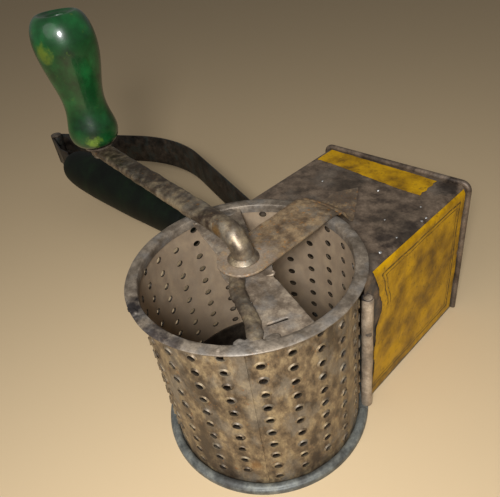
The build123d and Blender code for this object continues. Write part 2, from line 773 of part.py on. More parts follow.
# Knob: turned wood, bored for the spindle
with BuildPart() as crank_knob:
    with BuildSketch(Plane(origin=(crank_x, crank_y, knob_base), x_dir=(1, 0, 0), z_dir=(0, -1, 0))):
        with BuildLine():
            Line((0, 0), (knob_foot_face, 0))
            Spline(
                (knob_foot_face, 0),
                (knob_foot_radius, knob_foot_level * knob_height),
                (knob_neck_radius, knob_neck_level * knob_height),
                (knob_shoulder_radius, knob_shoulder_level * knob_height),
                (knob_head_radius, knob_head_level * knob_height),
                (knob_brow_radius, knob_brow_level * knob_height),
                (knob_crown_face, knob_height),
                tangents=((1, 0.6), (-1, 0.35)),
            )
            Line((knob_crown_face, knob_height), (0, knob_height))
            Line((0, knob_height), (0, 0))
        make_face()
    revolve(axis=Axis((crank_x, crank_y, 0), (0, 0, 1)))
    with BuildSketch(Plane.XY.offset(knob_base)):
        with Locations((crank_x, crank_y)):
            Circle(spindle_radius + running_fit)
    extrude(amount=knob_height, mode=Mode.SUBTRACT)
    with BuildSketch(Plane.XY.offset(recess_floor)):
        with Locations((crank_x, crank_y)):
            Circle(spindle_head_radius + recess_play)
    extrude(amount=recess_depth, mode=Mode.SUBTRACT)
keep(crank_knob, "crank_knob")

# Paper labels, glued on the side and the top
with BuildPart() as side_label:
    with BuildSketch(Plane.YZ.offset(hopper_right)):
        with BuildLine():
            Spline(
                (side_label_near + side_label_tear, side_label_top),
                (side_label_near + side_label_tear, 0.75 * side_label_top),
                (side_label_near + 0.3 * side_label_tear, 0.48 * side_label_top),
                (side_label_near + 0.5 * side_label_tear, 0.2 * side_label_top),
                (side_label_near, side_label_bottom),
            )
            Line((side_label_near, side_label_bottom), (side_label_far, side_label_bottom))
            Line((side_label_far, side_label_bottom), (side_label_far, side_label_top))
            Line((side_label_far, side_label_top), (side_label_near + side_label_tear, side_label_top))
        make_face()
    extrude(amount=paper)
keep(side_label, "side_label")

with BuildPart() as top_label:
    with BuildSketch(Plane.XY.offset(hopper_top)):
        with Locations((top_label_left, top_label_near)):
            Rectangle(
                top_label_right - top_label_left,
                top_label_far - top_label_near,
                align=(Align.MIN, Align.MIN),
            )
    extrude(amount=paper)
keep(top_label, "top_label")
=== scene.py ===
# Hand-cranked cabbage shredder: the looks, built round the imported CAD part. Metres, +Z up.
from math import atan2, cos, degrees, exp, pi, radians, sin, tau
from random import Random

import bpy
from mathutils import Matrix, Vector, noise


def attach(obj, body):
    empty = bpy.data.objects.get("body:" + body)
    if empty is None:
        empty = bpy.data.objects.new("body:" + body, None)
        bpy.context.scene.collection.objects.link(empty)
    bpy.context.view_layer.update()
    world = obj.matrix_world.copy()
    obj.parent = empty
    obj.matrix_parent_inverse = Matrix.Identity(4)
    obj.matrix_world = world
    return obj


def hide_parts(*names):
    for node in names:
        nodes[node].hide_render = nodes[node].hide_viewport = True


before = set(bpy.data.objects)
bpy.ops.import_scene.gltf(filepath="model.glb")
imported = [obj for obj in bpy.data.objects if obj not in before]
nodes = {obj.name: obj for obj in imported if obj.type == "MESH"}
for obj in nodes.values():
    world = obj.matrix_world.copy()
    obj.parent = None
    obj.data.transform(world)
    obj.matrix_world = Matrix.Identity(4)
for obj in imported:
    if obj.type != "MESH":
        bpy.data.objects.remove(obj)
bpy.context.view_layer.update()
mm = 0.001
print("stage 1: frame loaded,", len(nodes), "nodes")

# Camera: the photograph's own angle, solved from the drum's rim and the hopper's corners
photoCamera = {
    "azimuth": -50.17,
    "elevation": 36.08,
    "roll": -9.2,
    "distance": 0.26602,
    "target": (-0.04785, 0.04372, 0.040),
    "focalPixels": 509.0,
    "framePixels": 500,
    "sensorWidth": 36.0,
}


def placeCamera(settings):
    azimuth = radians(settings["azimuth"])
    elevation = radians(settings["elevation"])
    roll = radians(settings["roll"])
    forward = Vector((sin(azimuth) * cos(elevation), cos(azimuth) * cos(elevation), -sin(elevation)))
    level = forward.cross(Vector((0, 0, 1))).normalized()
    rise = level.cross(forward)
    right = level * cos(roll) + rise * sin(roll)
    up = rise * cos(roll) - level * sin(roll)
    data = bpy.data.cameras.new("photoCamera")
    data.sensor_fit = "HORIZONTAL"
    data.sensor_width = settings["sensorWidth"]
    data.lens = settings["sensorWidth"] * settings["focalPixels"] / settings["framePixels"]
    data.clip_start = 0.01
    camera = bpy.data.objects.new("photoCamera", data)
    bpy.context.scene.collection.objects.link(camera)
    turn = Matrix((right, up, -forward)).transposed().to_4x4()
    place = Vector(settings["target"]) - forward * settings["distance"]
    camera.matrix_world = Matrix.Translation(place) @ turn
    bpy.context.scene.camera = camera


placeCamera(photoCamera)

# Lights: one soft key beside the camera, as the photograph's flash, a fill and a pale room
lights = {
    "key": {"place": (0.158, -0.170, 0.268), "aim": (-0.03, 0.03, 0.05), "size": 0.07, "watts": 1.45},
    "fill": {"place": (0.15, -0.8, 0.75), "aim": (-0.05, 0.02, 0.05), "size": 1.0, "watts": 3.0},
    "room": (0.55, 0.54, 0.52),
    "roomStrength": 0.3,
}


def addLight(name, settings):
    data = bpy.data.lights.new(name, "AREA")
    data.shape = "DISK"
    data.size = settings["size"]
    data.energy = settings["watts"]
    lamp = bpy.data.objects.new(name, data)
    bpy.context.scene.collection.objects.link(lamp)
    lamp.location = settings["place"]
    aim = Vector(settings["aim"]) - Vector(settings["place"])
    lamp.rotation_euler = aim.to_track_quat("-Z", "Y").to_euler()


addLight("keyLight", lights["key"])
addLight("fillLight", lights["fill"])
world = bpy.data.worlds.new("room")
bpy.context.scene.world = world
world.use_nodes = True
world.node_tree.nodes["Background"].inputs["Color"].default_value = (*lights["room"], 1)
world.node_tree.nodes["Background"].inputs["Strength"].default_value = lights["roomStrength"]
bpy.context.scene.view_settings.view_transform = "Standard"


def linear(hexCode):
    channels = [int(hexCode[i:i + 2], 16) / 255 for i in (0, 2, 4)]
    return (*[c / 12.92 if c <= 0.04045 else ((c + 0.055) / 1.055) ** 2.4 for c in channels], 1)


# Adds a node: an input is a value or the socket to link, and the other settings are the node's own
def addNode(tree, kind, inputs=None, stops=None, **settings):
    node = tree.nodes.new(kind)
    for key, value in settings.items():
        setattr(node, key, value)
    for key, value in (inputs or {}).items():
        if isinstance(value, bpy.types.NodeSocket):
            tree.links.new(value, node.inputs[key])
        else:
            node.inputs[key].default_value = value
    if stops:
        ramp = node.color_ramp
        while len(ramp.elements) < len(stops):
            ramp.elements.new(0.5)
        for element, (place, colour) in zip(ramp.elements, stops):
            element.position = place
            element.color = linear(colour) if isinstance(colour, str) else (colour, colour, colour, 1)
    return node


def startMaterial(name):
    material = bpy.data.materials.new(name)
    material.use_nodes = True
    tree = material.node_tree
    tree.nodes.clear()
    output = addNode(tree, "ShaderNodeOutputMaterial")
    shader = addNode(tree, "ShaderNodeBsdfPrincipled")
    tree.links.new(shader.outputs["BSDF"], output.inputs["Surface"])
    coordinates = addNode(tree, "ShaderNodeTexCoord").outputs["Object"]
    return material, tree, shader, coordinates


# A soft-edged round patch at a place on the object: its amount inside, 0 outside, its edge broken up by noise
patchEdge = {"ragged": 3.2, "inner": 2.0, "outer": 2.9}  # in the patch's sizes


def patch(tree, place, ragged, spot):
    centre = Vector(spot["at"]) * mm
    offset = addNode(tree, "ShaderNodeVectorMath", {0: place, 1: centre}, operation="SUBTRACT")
    squash = addNode(tree, "ShaderNodeVectorMath", {0: offset.outputs[0], 1: spot.get("squash", (1, 1, 1))},
                     operation="MULTIPLY")
    far = addNode(tree, "ShaderNodeVectorMath", {0: squash.outputs[0]}, operation="LENGTH")
    size = spot["size"] * mm
    rough = addNode(tree, "ShaderNodeMath", {0: ragged, 1: patchEdge["ragged"] * size},
                    operation="MULTIPLY")
    reach = addNode(tree, "ShaderNodeMath", {0: far.outputs["Value"], 1: rough.outputs[0]}, operation="ADD")
    return addNode(tree, "ShaderNodeMapRange",
                   {"Value": reach.outputs[0], "From Min": patchEdge["inner"] * size,
                    "From Max": patchEdge["outer"] * size, "To Min": spot["amount"],
                    "To Max": 0}).outputs["Result"]


# Aged tinplate: tin over thin steel, dulled to olive brown, with handled stains, paler rubbed spots, rust
# freckles and fine grain. Every sheet and iron piece has this surface, lighter or darker, its stains its own;
# some of its spots, masks and lighter or darker versions are painted light or painted shade, as marked where
# they are set.
def tinplate(name, look):
    material, tree, shader, place = startMaterial(name)
    flow = addNode(tree, "ShaderNodeMapping", {"Vector": place, "Scale": look["stretch"]}).outputs["Vector"]
    blotch = addNode(tree, "ShaderNodeTexNoise",
                     {"Vector": flow, "Scale": 1 / (look["blotch"] * mm), "Detail": 7, "Roughness": 0.66})
    colour = addNode(tree, "ShaderNodeValToRGB", {"Fac": blotch.outputs["Fac"]},
                     stops=[(0.36, look["dark"]), (0.49, look["mid"]),
                            (0.62, look["pale"])]).outputs["Color"]
    away = addNode(tree, "ShaderNodeMapping",
                   {"Vector": flow, "Location": look["greyShift"]}).outputs["Vector"]
    grey = addNode(tree, "ShaderNodeTexNoise",
                   {"Vector": away, "Scale": 1 / (look["greySize"] * mm), "Detail": 5, "Roughness": 0.6})
    greyMask = addNode(tree, "ShaderNodeMapRange",
                       {"Value": grey.outputs["Fac"], "From Min": 0.5, "From Max": 0.62,
                        "To Max": look["greyAmount"]})
    stain = addNode(tree, "ShaderNodeTexNoise",
                    {"Vector": flow, "Scale": 1 / (look["stainSize"] * mm), "Detail": 5, "Roughness": 0.6})
    stainMask = addNode(tree, "ShaderNodeMapRange",
                        {"Value": stain.outputs["Fac"], "From Min": 0.52, "From Max": 0.66,
                         "To Max": look["stainAmount"]})
    layers = [(greyMask.outputs["Result"], look["grey"]), (stainMask.outputs["Result"], look["stain"])]
    layers += [(patch(tree, place, blotch.outputs["Fac"], spot), spot["colour"]) for spot in look["spots"]]
    for amount, over in layers:
        colour = addNode(tree, "ShaderNodeMix", {0: amount, 6: colour, 7: linear(over)},
                         data_type="RGBA").outputs[2]
    grain = addNode(tree, "ShaderNodeTexNoise",
                    {"Vector": flow, "Scale": 1 / (look["grain"] * mm), "Detail": 4, "Roughness": 0.72})
    speck = addNode(tree, "ShaderNodeMapRange",
                    {"Value": grain.outputs["Fac"], "From Min": 0.3, "From Max": 0.7, "To Min": 0.62,
                     "To Max": 1.12})
    colour = addNode(tree, "ShaderNodeMix", {0: 0.85, 6: colour, 7: speck.outputs["Result"]},
                     data_type="RGBA", blend_type="MULTIPLY").outputs[2]
    freckle = addNode(tree, "ShaderNodeTexNoise",
                      {"Vector": flow, "Scale": 1 / (look["freckle"] * mm), "Detail": 6, "Roughness": 0.78})
    freckleMask = addNode(tree, "ShaderNodeMapRange",
                          {"Value": freckle.outputs["Fac"], "From Min": look["rustFrom"],
                           "From Max": look["rustFrom"] + look["rustEdge"], "To Max": 0.8})
    layers = [(freckleMask.outputs["Result"], look["rust"])]
    if "holeShade" in look:  # painted shade in the holes' throats and inner lips, by the piece's own attribute
        deep = addNode(tree, "ShaderNodeAttribute", attribute_name="holeShade").outputs["Fac"]
        layers.append((deep, look["holeShade"]))
    if "paintedLightRadius" in look:  # painted light: the drum's inside wall is painted paler than its outside, as if more brightly lit
        flat = addNode(tree, "ShaderNodeVectorMath", {0: place, 1: (1, 1, 0)},
                       operation="MULTIPLY").outputs[0]
        far = addNode(tree, "ShaderNodeVectorMath", {0: flat}, operation="LENGTH").outputs["Value"]
        inner = addNode(tree, "ShaderNodeMapRange",
                        {"Value": far, "From Min": (look["paintedLightRadius"] + look["paintedLightEdge"]) * mm,
                         "From Max": (look["paintedLightRadius"] - look["paintedLightEdge"]) * mm,
                         "To Max": look["paintedLightAmount"]})
        layers.append((inner.outputs["Result"], look["inner"]))
    for amount, over in layers:
        colour = addNode(tree, "ShaderNodeMix", {0: amount, 6: colour, 7: linear(over)},
                         data_type="RGBA").outputs[2]
    tree.links.new(colour, shader.inputs["Base Color"])
    dull = addNode(tree, "ShaderNodeMapRange",
                   {"Value": blotch.outputs["Fac"], "From Min": 0.3, "From Max": 0.7,
                    "To Min": look["roughness"] - 0.1, "To Max": look["roughness"] + 0.16})
    tree.links.new(dull.outputs["Result"], shader.inputs["Roughness"])
    shader.inputs["Metallic"].default_value = look["metallic"]
    dent = addNode(tree, "ShaderNodeTexNoise",
                   {"Vector": flow, "Scale": 1 / (look["dentSize"] * mm), "Detail": 2})
    low = addNode(tree, "ShaderNodeBump",
                  {"Height": dent.outputs["Fac"], "Strength": 0.6, "Distance": look["dentDepth"] * mm})
    fine = addNode(tree, "ShaderNodeBump",
                   {"Height": grain.outputs["Fac"], "Normal": low.outputs["Normal"],
                    "Strength": look["bump"], "Distance": look["grainDepth"] * mm})
    tree.links.new(fine.outputs["Normal"], shader.inputs["Normal"])
    return material


drumTin = {"dark": "473b2e", "mid": "76644d", "pale": "a08c6a", "grey": "857e72", "greySize": 9,
           "greyAmount": 0.55, "stain": "382d24", "stainAmount": 0.8, "stainSize": 15, "blotch": 4.6,
           "rust": "8f5d2a", "rustFrom": 0.62, "rustEdge": 0.07, "grain": 0.8, "grainDepth": 0.12,
           "freckle": 2.2, "dentSize": 9, "dentDepth": 0.4, "spots": [], "stretch": (1, 1, 1),
           "greyShift": (0.3, 0.1, 0.7), "roughness": 0.5, "metallic": 0.4, "bump": 0.5}
# painted light: the inside colour, its amount and its radius paint the drum's inside wall paler, as if
# brightly lit
wallTin = {**drumTin, "stretch": (1, 1, 0.6), "paintedLightRadius": 41.15, "paintedLightEdge": 0.1, "inner": "b59f86",
           "paintedLightAmount": 0.72,
           "spots": [{"at": (14, -39, 56), "size": 7, "amount": 0.5, "colour": "33281f",
                      "squash": (1, 1, 0.7)},
                     {"at": (12, -40, 34), "size": 6, "amount": 0.5, "colour": "3a2c20",
                      "squash": (1, 1, 0.7)},
                     {"at": (26, -32.5, 14), "size": 3, "amount": 0.4, "colour": "9a6c30"}]}
# painted shade: the end cup deep inside the drum is painted dark to stand in for the shade there
shadedCupTin = {**drumTin, "dark": "2b241d", "mid": "3a3128", "pale": "4c4236", "grey": "403a33"}
hopperTin = {**drumTin, "dark": "4c4036", "mid": "6b5b4c", "pale": "83715f", "grey": "756b60",
             "stain": "3c332a", "blotch": 6, "stainSize": 26, "greySize": 16, "rustFrom": 0.68,
             "dentSize": 14, "dentDepth": 0.7,
             "spots": [{"at": (27.8, 51.3, 73.2), "size": 5.5, "amount": 0.75, "colour": "2b2320"},
                       {"at": (29.9, 99.2, 73.2), "size": 6, "amount": 0.7, "colour": "28211e"},
                       {"at": (29.7, 63.5, 73.2), "size": 4.5, "amount": 0.6, "colour": "2f2723"},
                       {"at": (35.6, 29.5, 50), "size": 9, "amount": 0.8, "colour": "343a42",
                        "squash": (1, 1.6, 0.45)}]}
# painted light: the wired edges are painted pale to stand in for the light falling on them
paleLitBeadTin = {**hopperTin, "dark": "7d6d5b", "mid": "a08f7b", "pale": "bfae98", "stainAmount": 0.4,
           "spots": []}
rimTin = {**drumTin, "dark": "62574a", "mid": "776b5d", "pale": "8f8272", "grey": "85807a",
          "stainAmount": 0.45, "rustFrom": 0.66,
          "spots": [{"at": (-14, -42.8, 81), "size": 7, "amount": 0.9, "colour": "1d191c"},
                    {"at": (2.5, -43.8, 81), "size": 5, "amount": 0.75, "colour": "2a2428"},
                    {"at": (10, -43.0, 81), "size": 4, "amount": 0.6, "colour": "2a2428"}]}
webTin = {**rimTin, "dark": "6b5d4e", "mid": "8b7b69", "pale": "a59580", "spots": []}
footZinc = {**drumTin, "dark": "4b4d49", "mid": "666864", "pale": "7e7f77", "grey": "6e7270",
            "stain": "3a3835", "rustFrom": 0.74, "metallic": 0.3}
strapTin = {**drumTin, "dark": "6a5641", "mid": "8c7559", "pale": "a78e6c", "rust": "ad7530",
            "rustFrom": 0.57, "stain": "4a3626",
            "spots": [{"at": (0, -1, 83.4), "size": 12, "amount": 0.8, "colour": "a89784"},
                      {"at": (8, 43, 83.4), "size": 4.5, "amount": 0.6, "colour": "3a2a1c"},
                      {"at": (-8, 68, 73.7), "size": 9, "amount": 0.9, "colour": "67584a"},
                      {"at": (6, 62, 73.7), "size": 7, "amount": 0.9, "colour": "67584a"}]}
crankIron = {**drumTin, "dark": "574b3f", "mid": "796a57", "pale": "97866b", "rust": "8d6232",
             "rustFrom": 0.6, "roughness": 0.4, "metallic": 0.55,
             "spots": [{"at": (-16.5, 1.4, 95), "size": 6, "amount": 0.75, "colour": "33241a"},
                       {"at": (-10, -4.6, 93), "size": 3.2, "amount": 0.6, "colour": "8f6a34"},
                       # painted shade: these two long patches darken the arm's upper side along its length
                       {"at": (-60, 12, 95), "size": 15, "amount": 0.7, "colour": "362b20",
                        "squash": (0.6, 1.6, 1)},
                       {"at": (-84, 13, 95), "size": 15, "amount": 0.7, "colour": "362b20",
                        "squash": (0.6, 1.4, 1)}]}
springSteel = {**drumTin, "dark": "241f1b", "mid": "37302a", "pale": "4c4238", "grey": "3a4644",
               "stain": "191917", "rust": "5d4028", "rustFrom": 0.6, "roughness": 0.42, "metallic": 0.5}
darkBar = {**springSteel, "dark": "24211e", "mid": "322d29", "pale": "413b35", "grey": "3a3a39"}
rivetIron = {**drumTin, "dark": "4e453c", "mid": "675b4f", "pale": "807362", "blotch": 3}
brightSolder = {**rimTin, "dark": "a9a7a4", "mid": "c6c5c3", "pale": "dad9d8", "grey": "bdbcbb",
                "stainAmount": 0, "rustFrom": 0.9, "roughness": 0.28, "metallic": 0.8, "spots": []}

materials = {
    "drum": tinplate("aged tinplate, drum", wallTin),
    "cup": tinplate("tinplate painted dark as shade, drum's foot", shadedCupTin),
    "teeth": tinplate("aged tinplate, torn edges", {**drumTin, "holeShade": "14100c"}),
    "rim": tinplate("solder-dulled tinplate, rim", rimTin),
    "web": tinplate("rubbed tinplate, web", webTin),
    "hopper": tinplate("aged tinplate, hopper", hopperTin),
    "bead": tinplate("tinplate painted pale as if lit, wired edges", paleLitBeadTin),
    "solder": tinplate("bright solder", brightSolder),
    "foot": tinplate("dull zinc-coated sheet", footZinc),
    "strap": tinplate("rust-freckled tinned strap", strapTin),
    "crank": tinplate("hammered tinned rod", crankIron),
    "spring": tinplate("browned spring steel", springSteel),
    "bar": tinplate("hot-rolled bar", darkBar),
    "rivet": tinplate("soft iron rivets and wire", rivetIron),
}


# Enamel on turned wood: thick glossy green, its surface rippled a little, worn to yellow-green ground
def enamel(name, look):
    material, tree, shader, place = startMaterial(name)
    cloud = addNode(tree, "ShaderNodeTexNoise",
                    {"Vector": place, "Scale": 1 / (look["cloud"] * mm), "Detail": 4, "Roughness": 0.6})
    colour = addNode(tree, "ShaderNodeValToRGB", {"Fac": cloud.outputs["Fac"]},
                     stops=[(0.32, look["dark"]), (0.5, look["mid"]),
                            (0.68, look["pale"])]).outputs["Color"]
    wear = addNode(tree, "ShaderNodeTexNoise",
                   {"Vector": place, "Scale": 1 / (look["wear"] * mm), "Detail": 6, "Roughness": 0.7})
    wearMask = addNode(tree, "ShaderNodeMapRange",
                       {"Value": wear.outputs["Fac"], "From Min": look["wearFrom"],
                        "From Max": look["wearFrom"] + look["wearEdge"], "To Max": 0.7})
    colour = addNode(tree, "ShaderNodeMix",
                     {0: wearMask.outputs["Result"], 6: colour, 7: linear(look["worn"])},
                     data_type="RGBA").outputs[2]
    for spot in look["spots"]:
        colour = addNode(tree, "ShaderNodeMix",
                         {0: patch(tree, place, wear.outputs["Fac"], spot), 6: colour,
                          7: linear(spot["colour"])}, data_type="RGBA").outputs[2]
    tree.links.new(colour, shader.inputs["Base Color"])
    shader.inputs["Roughness"].default_value = look["roughness"]
    shader.inputs["Coat Weight"].default_value = look["coat"]
    shader.inputs["Coat Roughness"].default_value = look["coatRoughness"]
    shader.inputs["Specular IOR Level"].default_value = look["specular"]
    ripple = addNode(tree, "ShaderNodeBump",
                     {"Height": wear.outputs["Fac"], "Strength": 0.3, "Distance": look["ripple"] * mm})
    tree.links.new(ripple.outputs["Normal"], shader.inputs["Normal"])
    return material


knobGreen = {"dark": "06250f", "mid": "0c3d1a", "pale": "145527", "worn": "3f5a1a", "wearFrom": 0.64,
             "wearEdge": 0.08, "cloud": 14, "wear": 5, "ripple": 0.3, "roughness": 0.36, "specular": 0.35,
             "coat": 0.6, "coatRoughness": 0.12,
             "spots": [{"at": (-113.5, -0.3, 145), "size": 3.6, "amount": 0.7, "colour": "5c6a1c"},
                       {"at": (-107.5, 6.2, 100.5), "size": 3.4, "amount": 0.8, "colour": "6c8a2c"}]}
gripGreen = {**knobGreen, "dark": "060905", "mid": "0a1109", "pale": "0f1c0d", "worn": "1c1a10",
             "wearFrom": 0.66, "roughness": 0.6, "coat": 0.0, "specular": 0.18, "spots": []}
materials["knob"] = enamel("glossy green enamel on turned wood", knobGreen)
materials["grip"] = enamel("dark green paint on turned wood", gripGreen)


# Paper label: rag paper printed solid yellow and varnished, browned by damp, with a double ruled border
def paperLabel(name, look):
    material, tree, shader, place = startMaterial(name)
    damp = addNode(tree, "ShaderNodeTexNoise",
                   {"Vector": place, "Scale": 1 / (look["damp"] * mm), "Detail": 6, "Roughness": 0.62})
    colour = addNode(tree, "ShaderNodeValToRGB", {"Fac": damp.outputs["Fac"]},
                     stops=[(0.34, look["brown"]), (0.46, look["ochre"]),
                            (0.6, look["yellow"])]).outputs["Color"]
    scuff = addNode(tree, "ShaderNodeTexNoise",
                    {"Vector": place, "Scale": 1 / (look["scuffSize"] * mm), "Detail": 6,
                     "Roughness": 0.75})
    scuffMask = addNode(tree, "ShaderNodeMapRange",
                        {"Value": scuff.outputs["Fac"], "From Min": 0.56, "From Max": 0.68, "To Max": 0.75})
    colour = addNode(tree, "ShaderNodeMix",
                     {0: scuffMask.outputs["Result"], 6: colour, 7: linear(look["scuff"])},
                     data_type="RGBA").outputs[2]
    # the rules are as far in from the printed edge as the piece's own "inset" attribute says, in metres
    inset = addNode(tree, "ShaderNodeAttribute", attribute_name="inset").outputs["Fac"]
    for ruleAt, ruleWide in look["rules"]:
        off = addNode(tree, "ShaderNodeMath", {0: inset, 1: ruleAt * mm}, operation="SUBTRACT")
        near = addNode(tree, "ShaderNodeMath", {0: off.outputs[0]}, operation="ABSOLUTE")
        line = addNode(tree, "ShaderNodeMapRange",
                       {"Value": near.outputs[0], "From Min": 0.4 * ruleWide * mm,
                        "From Max": 0.6 * ruleWide * mm, "To Min": 0.85, "To Max": 0})
        worn = addNode(tree, "ShaderNodeMapRange",
                       {"Value": scuff.outputs["Fac"], "From Min": 0.62, "From Max": 0.5})
        inked = addNode(tree, "ShaderNodeMath", {0: line.outputs["Result"], 1: worn.outputs["Result"]},
                        operation="MULTIPLY")
        colour = addNode(tree, "ShaderNodeMix", {0: inked.outputs[0], 6: colour, 7: linear(look["ink"])},
                         data_type="RGBA").outputs[2]
    tree.links.new(colour, shader.inputs["Base Color"])
    shader.inputs["Roughness"].default_value = look["roughness"]
    shader.inputs["Specular IOR Level"].default_value = look["specular"]
    crease = addNode(tree, "ShaderNodeBump",
                     {"Height": scuff.outputs["Fac"], "Strength": 0.4, "Distance": look["crease"] * mm})
    tree.links.new(crease.outputs["Normal"], shader.inputs["Normal"])
    return material


labelYellow = {"brown": "66490a", "ochre": "926c02", "yellow": "b78b00", "scuff": "4a3910", "ink": "231d0f",
               "damp": 15, "scuffSize": 2.5, "crease": 0.15, "roughness": 0.5, "specular": 0.3,
               "rules": [(4.2, 0.9), (6.2, 0.5)]}
materials["label"] = paperLabel("yellow varnished paper", labelYellow)

nodeMaterials = {"back_plate": "foot", "hopper_shell": "hopper", "edge_wires": "rivet",
                 "mouth_wire": "rivet", "rear_pivot": "rivet", "bearing_strap": "strap",
                 "handle_tang": "bar", "tang_rivets": "rivet", "grip": "grip", "grip_pins": "rivet",
                 "hinge_bracket": "bar", "bracket_rivet": "rivet", "hinge_pin": "rivet",
                 "press_lever": "spring", "presser_plate": "hopper", "presser_rivets": "rivet",
                 "drum_shell": "drum", "drum_rim": "rim", "drum_web": "web", "drum_end_cup": "cup",
                 "rear_bush": "rivet", "crank": "crank", "shaft_collar": "crank", "knob_washer": "rivet",
                 "knob_spindle": "rivet", "crank_knob": "knob", "side_label": "label", "top_label": "label"}
for nodeName, finish in nodeMaterials.items():
    nodes[nodeName].data.materials.clear()
    nodes[nodeName].data.materials.append(materials[finish])
print("stage 2: materials on", len(nodeMaterials), "nodes")


# Making pieces: picking, closing, softening and handing over
def pick(piece):
    bpy.ops.object.select_all(action="DESELECT")
    piece.select_set(True)
    bpy.context.view_layer.objects.active = piece


def editAll(piece):
    pick(piece)
    bpy.ops.object.mode_set(mode="EDIT")
    bpy.ops.mesh.select_mode(type="VERT")
    bpy.ops.mesh.select_all(action="SELECT")


def leaveEdit():
    bpy.ops.object.mode_set(mode="OBJECT")


def applyModifier(piece, kind, **settings):
    pick(piece)
    modifier = piece.modifiers.new("shape", kind)
    for key, value in settings.items():
        setattr(modifier, key, value)
    bpy.ops.object.modifier_apply(modifier=modifier.name)


def smooth(piece, angle=40):
    pick(piece)
    bpy.ops.object.shade_smooth_by_angle(angle=radians(angle))


def handOver(piece, name, finish, body, replaced=()):
    piece.name = name
    piece.data.name = name
    piece.data.materials.clear()
    piece.data.materials.append(materials[finish])
    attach(piece, body)
    if replaced:
        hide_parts(*replaced)


# Moves the skin in and out by noise. Each seed reads another part of the noise.
seedSteps = Vector((3.7, 1.3, 2.1))


def uneven(piece, wave, depth, seed):
    shift = seedSteps * seed
    moves = [v.normal * depth * mm * noise.noise(v.co / (wave * mm) + shift) for v in piece.data.vertices]
    for vertex, move in zip(piece.data.vertices, moves):
        vertex.co += move


merge = 0.005 * mm  # closer vertices of a CAD copy are one


# A worked piece: a copy of the CAD node's skin, remeshed finely, its edges worn round and its faces uneven
def worked(nodeName, settings):
    piece = bpy.data.objects.new(nodeName + "Copy", nodes[nodeName].data.copy())
    bpy.context.scene.collection.objects.link(piece)
    editAll(piece)
    bpy.ops.mesh.remove_doubles(threshold=merge)
    leaveEdit()
    applyModifier(piece, "REMESH", mode="VOXEL", voxel_size=settings["voxel"] * mm, use_smooth_shade=True)
    applyModifier(piece, "SMOOTH", factor=0.5, iterations=settings["rounds"])
    uneven(piece, settings["wave"], settings["depth"], settings["seed"])
    smooth(piece, 60)
    return piece


# A turned piece: a circle extruded from ring to ring. A closed profile comes back to its first ring.
def turned(profile, centre, segments=96, closed=False, turn=(0, 0, 0)):
    start, radius = profile[0]
    bpy.ops.object.select_all(action="DESELECT")
    bpy.ops.mesh.primitive_circle_add(vertices=segments, radius=radius * mm, location=(0, 0, start * mm))
    piece = bpy.context.object
    bpy.ops.object.mode_set(mode="EDIT")
    bpy.ops.mesh.select_mode(type="VERT")
    bpy.ops.mesh.select_all(action="SELECT")
    for (low, before), (high, after) in zip(profile, profile[1:]):
        bpy.ops.mesh.extrude_region_move(TRANSFORM_OT_translate={"value": (0, 0, (high - low) * mm)})
        share = after / before
        bpy.ops.transform.resize(value=(share, share, 1), center_override=(0, 0, high * mm))
    if not closed:
        bpy.ops.mesh.edge_face_add()
    bpy.ops.mesh.select_all(action="DESELECT")
    bpy.ops.mesh.select_non_manifold()
    if closed:
        bpy.ops.mesh.bridge_edge_loops()
    else:
        bpy.ops.mesh.edge_face_add()
    bpy.ops.mesh.select_all(action="SELECT")
    bpy.ops.mesh.normals_make_consistent(inside=False)
    leaveEdit()
    bpy.ops.object.transform_apply(location=True, rotation=True, scale=True)
    piece.rotation_euler = turn
    piece.location = Vector(centre) * mm
    bpy.ops.object.transform_apply(location=True, rotation=True, scale=True)
    return piece


# Grating teeth: one crater torn outwards round a hole, copied to each hole of the wall
teeth = {
    "columns": 24, "rows": 10, "firstAngle": -39.4, "seamGap": 16.8, "pitch": 7.2, "topLow": 71.0,
    "stagger": 3,
    "wallRadius": 41.4, "holeWidth": 3.3, "holeHeight": 2.7, "segments": 12, "seed": 7,
    "heights": (0.75, 1.15), "lobes": (2, 3, 4), "tear": 0.16, "nick": 0.06,
    # painted shade: within this reach the hole throats are painted fully dark and the inner lips partly dark
    "holeShadeReach": 1.1, "lipShade": 0.45,
    # how far each ring of the lip stands beyond the hole, then outwards
    "rings": [(0.72, -0.12), (0.34, 0.14), (0.12, 0.52), (-0.08, 0.48), (-0.04, -0.52)],
}


